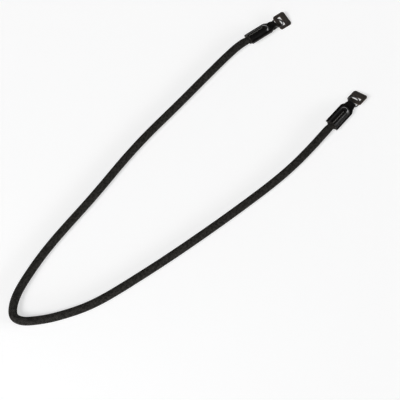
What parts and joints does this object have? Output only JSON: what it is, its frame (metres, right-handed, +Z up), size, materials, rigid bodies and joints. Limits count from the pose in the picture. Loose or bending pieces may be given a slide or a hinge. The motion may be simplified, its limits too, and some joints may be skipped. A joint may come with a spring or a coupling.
{
  "type": "camera neck strap",
  "caption": "Round braided rope neck strap with stitched leather ends, split rings and slotted leather pads, lying in a long hairpin loop.",
  "frame": {"origin": "middle of the strap's bounding box as it lies, on the surface under it", "axes": "+Y along the loop from its closed bend to its two ends, +X to the right, +Z up from the surface"},
  "size_m": [0.1766, 0.5136, 0.0124],
  "materials": {
    "braid": "matt black braided cord",
    "black_leather": "smooth black leather with a soft sheen",
    "pad_leather": "matt brownish-black leather",
    "dark_steel": "dark nickel-plated spring steel"
  },
  "bodies": {
    "root": {"rope": "braid", "left_leather_end": "black_leather", "right_leather_end": "black_leather", "left_split_ring": "dark_steel", "right_split_ring": "dark_steel", "left_ring_pad": "pad_leather", "right_ring_pad": "pad_leather"}
  },
  "joints": []
}
